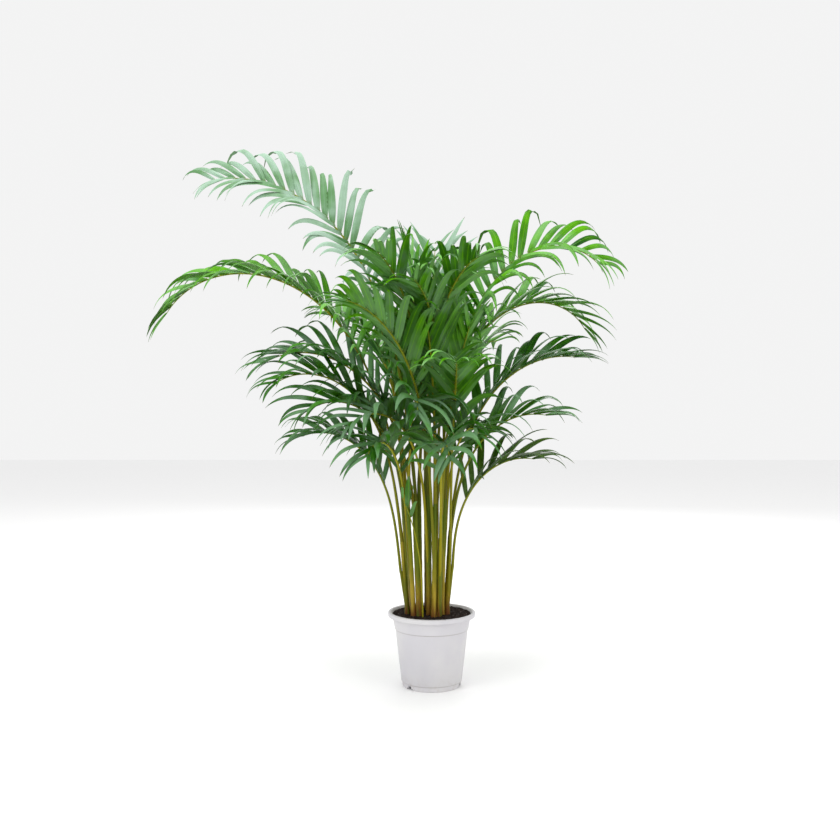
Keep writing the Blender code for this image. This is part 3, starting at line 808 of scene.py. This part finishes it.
def plan_fronds():
    """The outer fronds, then each whorl's: every one leaves the stem that gives it the most room."""
    chance = random.Random(WHORL_SEED)
    fronds = list(OUTER_FRONDS)
    lines = [frond_line(frond, 180) for frond in fronds] + [seedling_line(180)]
    stems = [np.linspace(stem_axis(i, 0), stem_axis(i, STEMS[i][4]), 40) for i in range(len(STEMS))]
    taken = {frond[1:3] for frond in fronds}
    for name, count, first, step, lean, arch, bend, length, bare, spread, sag in WHORLS:
        for number in range(count):
            azimuth = first + step * number + chance.uniform(-6, 6)
            shape = (
                azimuth,
                length * chance.uniform(0.9, 1.1),
                lean + chance.uniform(0, 2),
                arch + chance.uniform(-8, 8),
                bend,
                chance.uniform(-12, 12),
                bare,
                chance.uniform(-35, 35),
                spread,
                sag,
            )
            best = None
            for stem, (x, y, *_) in enumerate(STEMS):
                free = [share for share in SHARES if (stem, share) not in taken]
                if not free:
                    continue
                frond = (f"{name}_{number + 1}", stem, free[0], *shape)
                line = frond_line(frond, 180)
                others = lines + [axis for i, axis in enumerate(stems) if i != stem]
                room = min(room_between(line, other) for other in others)
                outward = x * cos(radians(azimuth)) + y * sin(radians(azimuth))
                score = min(room, ROOM_WANTED) + OUTWARD_PULL * outward
                if best is None or score > best[0]:
                    best = (score, frond, line)
            fronds.append(best[1])
            lines.append(best[2])
            taken.add(best[1][1:3])
    return fronds


def leaf_finish(name, deep, bright, bloom_sheen_amount, shine):
    """Leaf blade: parallel veins and a pale midrib, each leaflet its own green, waxy bloom with painted sheen
    in places, and painted shade on the undersides.
    """
    made, tree, shader, place = new_finish(name)
    along = add_node(tree, "ShaderNodeAttribute", {"attribute_name": "leaf_along"}).out("Fac")
    across = add_node(tree, "ShaderNodeAttribute", {"attribute_name": "leaf_across"}).out("Fac")
    own = add_node(tree, "ShaderNodeAttribute", {"attribute_name": "leaf_own"}).out("Fac")
    veins = number(tree, "SINE", across * 34.0) * 0.5 + 0.5
    aside = number(tree, "ABSOLUTE", across)
    midrib = 1 - ramp_between(tree, aside, 0.03, 0.13)
    cloud = mottle(tree, place, 26.0, 3.0)
    tone = number(tree, "MULTIPLY_ADD", own, 0.75, cloud * 1.1 - 0.45, clamp=True)
    colour = blend(tree, tone, deep, bright)
    colour = blend(tree, veins * 0.16, colour, (deep[0] * 0.6, deep[1] * 0.7, deep[2] * 0.6))
    # Pale blue-green patches, partly waxy bloom and partly painted sheen standing in for the overhead light's
    # reflection; the translucent glow below takes up the same colour.
    bloom_and_sheen_colour = (0.46, 0.64, 0.52)
    bloom_and_painted_sheen = ramp_between(tree, mottle(tree, place, 11.0, 2.0) + own * 0.22, 0.50, 0.74) * bloom_sheen_amount
    colour = blend(tree, bloom_and_painted_sheen, colour, bloom_and_sheen_colour)
    # Painted shade: the undersides are made darker and duller olive than the upper sides.
    layer = add_node(tree, "ShaderNodeAttribute", {"attribute_name": "leaf_layer"}).out("Fac")
    painted_underside_shade = number(tree, "LESS_THAN", layer, 0.0)
    colour = blend(tree, painted_underside_shade * 0.55, colour, (0.036, 0.095, 0.006))
    rib = (bright[0] * 1.25 + 0.02, bright[1] * 1.05 + 0.02, bright[2] * 1.5)
    colour = blend(tree, midrib * 0.35, colour, rib)
    tip = ramp_between(tree, along + own * 0.02, 0.955, 1.0)
    colour = blend(tree, tip * 0.8, colour, (0.17, 0.10, 0.03))
    foot = 1 - ramp_between(tree, along, 0.0, 0.07)
    colour = blend(tree, foot * 0.5, colour, (0.20, 0.22, 0.035))
    plug(shader, Base_Color=colour, Roughness=shine + bloom_and_painted_sheen * 0.2 + veins * 0.05, Metallic=0.0)
    height = veins * 0.25 + midrib * 0.9
    plug(shader, Normal=bump(tree, height, 0.30, 0.0005))
    glow = []
    for dark, light, bloom_sheen_part, lit in zip(deep, bright, bloom_and_sheen_colour, (0.22, 0.50, 0.01)):
        middle = dark + (light - dark) * 0.45
        glow.append((middle + (bloom_sheen_part - middle) * bloom_sheen_amount * 0.6 + lit) / 2)
    through = add_node(tree, "ShaderNodeBsdfTranslucent", {}, {"Color": (*glow, 1)})
    mixed = add_node(tree, "ShaderNodeMixShader", {}, {0: 0.28, 1: Wire(shader.outputs[0]), 2: through})
    tree.links.new(mixed.socket, tree.nodes["Material Output"].inputs["Surface"])
    return made


def stalk_finish():
    """Petiole and rachis: yellow to olive, brown speckled near the stem, greener towards the tip."""
    made, tree, shader, place = new_finish("frond_stalk")
    along = add_node(tree, "ShaderNodeAttribute", {"attribute_name": "stalk_along"}).out("Fac")
    own = add_node(tree, "ShaderNodeAttribute", {"attribute_name": "leaf_own"}).out("Fac")
    streaks = mottle(tree, place * (1.0, 1.0, 0.06), 900.0, 3.0, 0.6)
    specks = ramp_between(tree, mottle(tree, place, 420.0, 2.0), 0.66, 0.76)
    share = along + own * 0.22 - 0.11
    stops = [(0.0, (0.13, 0.11, 0.002)), (0.12, (0.15, 0.16, 0.002)), (0.42, (0.20, 0.22, 0.004))]
    stops += [(0.68, (0.22, 0.27, 0.010)), (1.0, (0.13, 0.25, 0.008))]
    colour = add_node(tree, "ShaderNodeValToRGB", {"stops": stops}, {0: share})
    green = blend(tree, own, (0.035, 0.085, 0.001), (0.38, 0.29, 0.008))
    colour = blend(tree, 0.45, colour, green)
    colour = blend(tree, ramp_between(tree, streaks, 0.5, 0.75) * 0.35, colour, (0.07, 0.085, 0.012))
    colour = blend(tree, specks * (1 - along) * 0.6, colour, (0.06, 0.03, 0.012))
    plug(shader, Base_Color=colour, Roughness=0.38 + streaks * 0.15, Metallic=0.0)
    plug(shader, Normal=bump(tree, streaks, 0.25, 0.0004))
    return made


def store(tree, geometry, name, value):
    """The geometry with a number stored at each point."""
    settings = {"data_type": "FLOAT", "domain": "POINT"}
    values = {"Geometry": geometry, "Name": name, "Value": value}
    return add_node(tree, "GeometryNodeStoreNamedAttribute", settings, values)


def hold(tree, geometry, kind, value):
    """The geometry, and a value read on it now that stays with its points from here on."""
    made = tree.nodes.new("GeometryNodeCaptureAttribute")
    made.capture_items.new(kind, "Value")
    tree.links.new(geometry.socket, made.inputs[0])
    tree.links.new(value.socket, made.inputs[1])
    return Wire(made.outputs[0]), Wire(made.outputs[1])


def vector(tree, operation, a, b=None):
    values = {0: a} if b is None else {0: a, 1: b}
    output = 1 if operation in ("DOT_PRODUCT", "LENGTH") else 0
    return add_node(tree, "ShaderNodeVectorMath", {"operation": operation}, values, output)


def turned_about(tree, what, axis, angle):
    values = {"Vector": what, "Center": (0, 0, 0), "Axis": axis, "Angle": angle}
    return add_node(tree, "ShaderNodeVectorRotate", {"rotation_type": "AXIS_ANGLE"}, values)


def chance_of(tree, low, high, seed):
    """A number for each point between two limits."""
    values = {2: low, 3: high, "Seed": seed}
    return add_node(tree, "FunctionNodeRandomValue", {"data_type": "FLOAT"}, values, 1)


def leaflet_row(tree, rachis, given, hand):
    """One row of leaflets on the rachis's points: folded, swept forward, raised in the V, drooping."""
    seed = given.out("Seed") + (0 if hand > 0 else 50)
    tangent = add_node(tree, "GeometryNodeInputTangent")
    share = add_node(tree, "GeometryNodeSplineParameter")
    row, ahead = hold(tree, rachis, "VECTOR", tangent)
    row, upward = hold(tree, row, "FLOAT", share)
    row, foot = hold(tree, row, "VECTOR", add_node(tree, "GeometryNodeInputPosition"))
    row, own = hold(tree, row, "FLOAT", chance_of(tree, 0.0, 1.0, seed))
    row, shake = hold(tree, row, "FLOAT", chance_of(tree, -1.0, 1.0, seed + 1))
    row, sway = hold(tree, row, "FLOAT", chance_of(tree, -1.0, 1.0, seed + 2))

    side = vector(tree, "NORMALIZE", vector(tree, "CROSS_PRODUCT", (0.0, 0.0, 1.0), given.out("Outward")))
    side = vector(tree, "NORMALIZE", side - ahead * vector(tree, "DOT_PRODUCT", side, ahead))
    side = turned_about(tree, side, ahead, given.out("Roll"))
    above = vector(tree, "CROSS_PRODUCT", ahead, side)
    sweep = given.out("Sweep") - upward * 0.35 + shake * 0.13
    rise = given.out("Rise") * (1 - upward * 0.45) + sway * 0.20
    outward = side * (number(tree, "COSINE", rise) * hand) + above * number(tree, "SINE", rise)
    start = ahead * number(tree, "COSINE", sweep) + outward * number(tree, "SINE", sweep)
    start = vector(tree, "NORMALIZE", start)
    wide = vector(tree, "NORMALIZE", ahead - start * vector(tree, "DOT_PRODUCT", ahead, start))
    sag = given.out("Sag") * (1 + shake * 0.40)
    length = given.out("Leaflet length") * (0.72 + upward * 1.1 - upward * upward * 1.35) * (1 + sway * 0.12)

    blade = {"Vertices": 4, "Side Segments": 14, "Fill Segments": 1, "Radius": 1.0, "Depth": 1.0}
    blade = add_node(tree, "GeometryNodeMeshCylinder", {"fill_type": "NGON"}, blade)
    parts = add_node(tree, "ShaderNodeSeparateXYZ", {}, {0: add_node(tree, "GeometryNodeInputPosition")})
    blade, across = hold(tree, blade, "FLOAT", parts.out("X"))
    blade, layer = hold(tree, blade, "FLOAT", parts.out("Y"))
    blade, along = hold(tree, blade, "FLOAT", parts.out("Z") + 0.5)
    made = add_node(tree, "GeometryNodeInstanceOnPoints", {}, {"Points": row, "Instance": blade})
    made = add_node(tree, "GeometryNodeRealizeInstances", {}, {0: made})

    fall = (0.0, 0.0, -1.0) * sag
    reach = start
    for step, weight in ((1, 4.0), (2, 2.0), (3, 4.0), (4, 1.0)):
        way = vector(tree, "NORMALIZE", start + fall * (along * (step / 4)) ** 3.0)
        reach = reach + way * weight
    reach = reach * (along * length / 12.0)
    wide = vector(tree, "NORMALIZE", wide - way * vector(tree, "DOT_PRODUCT", wide, way))
    wide = turned_about(tree, wide, way, (sway * 0.4 + given.out("Twist") * float(hand)) * along)
    normal = vector(tree, "CROSS_PRODUCT", way, wide) * float(-hand)
    swell = number(tree, "SINE", (along * 0.93 + 0.07) ** 0.72 * pi) ** 0.80
    belly = 0.62 + 0.38 * (1 - (upward * 2 - 0.9) * (upward * 2 - 0.9))
    half = swell * given.out("Leaflet width") * belly * 0.5
    aside = number(tree, "ABSOLUTE", across)
    crease = half * (1 - aside) * (0.30 + 0.55 * (1 - along) ** 3.0)
    thick = layer * (0.00022 + 0.0006 * (1 - along) ** 2.0)
    place = foot + reach + wide * (across * half * float(-hand)) + normal * (crease + thick)
    made = add_node(tree, "GeometryNodeSetPosition", {}, {"Geometry": made, "Position": place})
    made = store(tree, made, "leaf_along", along)
    made = store(tree, made, "leaf_across", across)
    made = store(tree, made, "leaf_layer", layer)
    return store(tree, made, "leaf_own", own)


def frond_tree():
    """A frond on a chain of points: its stalk as a tube, and both rows of leaflets on its far part."""
    tree = bpy.data.node_groups.new("feather_frond", "GeometryNodeTree")
    face = tree.interface
    face.new_socket("Geometry", in_out="OUTPUT", socket_type="NodeSocketGeometry")
    face.new_socket("Geometry", in_out="INPUT", socket_type="NodeSocketGeometry")
    sockets = (
        ("Bare share", "Float"),
        ("Pairs", "Int"),
        ("Leaflet length", "Float"),
        ("Leaflet width", "Float"),
        ("Sweep", "Float"),
        ("Rise", "Float"),
        ("Roll", "Float"),
        ("Sag", "Float"),
        ("Outward", "Vector"),
        ("Twist", "Float"),
        ("Seed", "Int"),
        ("Own tone", "Float"),
        ("Leaf", "Material"),
        ("Stalk", "Material"),
    )
    for name, kind in sockets:
        face.new_socket(name, in_out="INPUT", socket_type="NodeSocket" + kind)
    given = add_node(tree, "NodeGroupInput")
    stalk = tube_along(tree, given, named_number(tree, "radius"), 8)
    stalk = store(tree, stalk, "leaf_own", given.out("Own tone"))
    stalk = add_node(tree, "GeometryNodeSetMaterial", {}, {"Geometry": stalk, "Material": given.out("Stalk")})
    curve = add_node(tree, "GeometryNodeMeshToCurve", {}, {"Mesh": given})
    joined = [stalk]
    for hand, shift in ((1, 0.0), (-1, 0.010)):
        trim = {"Curve": curve, 2: given.out("Bare share") + shift, 3: 0.997}
        blade = add_node(tree, "GeometryNodeTrimCurve", {"mode": "FACTOR"}, trim)
        blade = add_node(tree, "GeometryNodeResampleCurve", {}, {"Curve": blade, "Count": given.out("Pairs")})
        row = leaflet_row(tree, blade, given, hand)
        leafy = {"Geometry": row, "Material": given.out("Leaf")}
        joined.append(add_node(tree, "GeometryNodeSetMaterial", {}, leafy))
    both = add_node(tree, "GeometryNodeJoinGeometry")
    for part in reversed(joined):
        tree.links.new(part.socket, both.socket.node.inputs[0])
    real = add_node(tree, "GeometryNodeRealizeInstances", {}, {0: both})
    add_node(tree, "NodeGroupOutput", {}, {0: real})
    return tree


def sheath_points(frond):
    """Points down along the stem, from inside it out to the petiole's foot, and their radii."""
    _, stem, share, azimuth, *_ = frond
    height = STEMS[stem][4] * share
    foot = frond_foot(stem, share, azimuth)
    points = []
    radii = []
    if share == 1.0:
        for drop in (0.012, 0.004):
            points.append(stem_axis(stem, height - drop))
            radii.append(STEM_TOP_RADIUS + SHEATH_SWELL * 0.9)
        return points, radii
    depth = min(0.11, height * 0.8)
    for i in range(10):
        up = i / 10
        axis = stem_axis(stem, height - depth * (1 - up))
        aside = (foot - stem_axis(stem, height)) * (0.30 + 0.70 * up**1.6)
        points.append(axis + aside)
        radii.append(0.0034 + 0.0012 * sin(pi * up))
    return points, radii


def grow_frond(name, line, frond, sheath, tree, finishes, sizes, seed):
    """A frond's mesh on its line, from its finishes and its leaflets' pitch, length and width."""
    chance = random.Random(seed)
    leaf, stalk = finishes
    pitch, length, width = sizes
    bare, roll, spread, sag = frond[-4:]
    low, low_radii = sheath
    total_length = np.sqrt((np.diff(line, axis=0) ** 2).sum(1)).sum()
    shares = np.linspace(0, 1, len(line))
    widest = low_radii[-1] if low_radii else 0.0016
    base = 0.0036 if low_radii else 0.0015
    radii = base + (widest - base) * np.exp(-shares * total_length / 0.11)
    radii = radii * (1 - shares) ** 0.5 * 0.9 + 0.0007
    points = np.vstack([low, line]) if low else line
    radii = np.concatenate([low_radii, radii])
    steps = np.sqrt((np.diff(points, axis=0) ** 2).sum(1))
    along = np.concatenate([[0], np.cumsum(steps)])
    along = along / along[-1]
    mesh = line_mesh(name, points, radius=radii, stalk_along=along)
    made = add_piece("leaf_" + name, mesh)
    modifier = made.modifiers.new("Frond", "NODES")
    modifier.node_group = tree
    start = along[len(low)] + (1 - along[len(low)]) * bare
    values = {
        "Bare share": float(start),
        "Pairs": max(2, round(total_length * (1 - bare) / pitch)),
        "Leaflet length": length,
        "Leaflet width": width,
        "Sweep": radians(spread + chance.uniform(-4, 4)),
        "Rise": radians(34 + chance.uniform(-3, 3)),
        "Roll": radians(roll),
        "Sag": sag,
        "Outward": (line[-1][0] - line[0][0], line[-1][1] - line[0][1], 0.0),
        "Twist": chance.uniform(-0.25, 0.25),
        "Seed": seed,
        "Own tone": chance.random(),
        "Leaf": leaf,
        "Stalk": stalk,
    }
    set_inputs(modifier, values)
    settled(made)
    made.data.shade_smooth()
    made.data.set_sharp_from_angle(angle=radians(60))
    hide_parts(name)
    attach(made, "root")


def make_fronds():
    tree = frond_tree()
    stalk = stalk_finish()
    tones = {
        "bright": leaf_finish("leaf_bright", (0.010, 0.105, 0.0005), (0.19, 0.66, 0.002), 0.24, 0.32),
        # Painted light: the bright green made brighter, with more painted sheen, for fronds in the shaded
        # middle of the crown.
        "painted_lit_green": leaf_finish("leaf_painted_lit_green", (0.013, 0.135, 0.0005), (0.23, 0.76, 0.002), 0.40, 0.29),
        "deep": leaf_finish("leaf_deep", (0.006, 0.058, 0.001), (0.060, 0.29, 0.003), 0.30, 0.34),
        # Pale blue-green: waxy bloom and painted reflection, nearly covered in sheen patches.
        "bloom_painted_reflection": leaf_finish("leaf_bloom_painted_reflection", (0.11, 0.28, 0.10), (0.26, 0.46, 0.26), 0.95, 0.42),
        "olive": leaf_finish("leaf_olive", (0.020, 0.060, 0.001), (0.10, 0.20, 0.002), 0.08, 0.42),
    }
    for seed, frond in enumerate(plan_fronds()):
        label = frond[0]
        tone = FROND_TONES.get(label) or FROND_TONES[label.rsplit("_", 1)[0]]
        finishes = (tones[tone], stalk)
        sizes = (LEAFLET_PITCH, LEAFLET_LENGTH, LEAFLET_WIDTH)
        line = frond_line(frond, 90)
        sheath = sheath_points(frond)
        grow_frond("frond_" + label, line, frond, sheath, tree, finishes, sizes, seed * 100 + 11)
    finishes = (tones["bright"], stalk)
    sizes = (0.020, 0.120, 0.020)
    grow_frond("seedling", seedling_line(60), SEEDLING, ([], []), tree, finishes, sizes, 4711)


make_fronds()

boxes = {"cad": cad_box, "visual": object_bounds()}
boxes = {name: [[float(value) for value in corner] for corner in box] for name, box in boxes.items()}
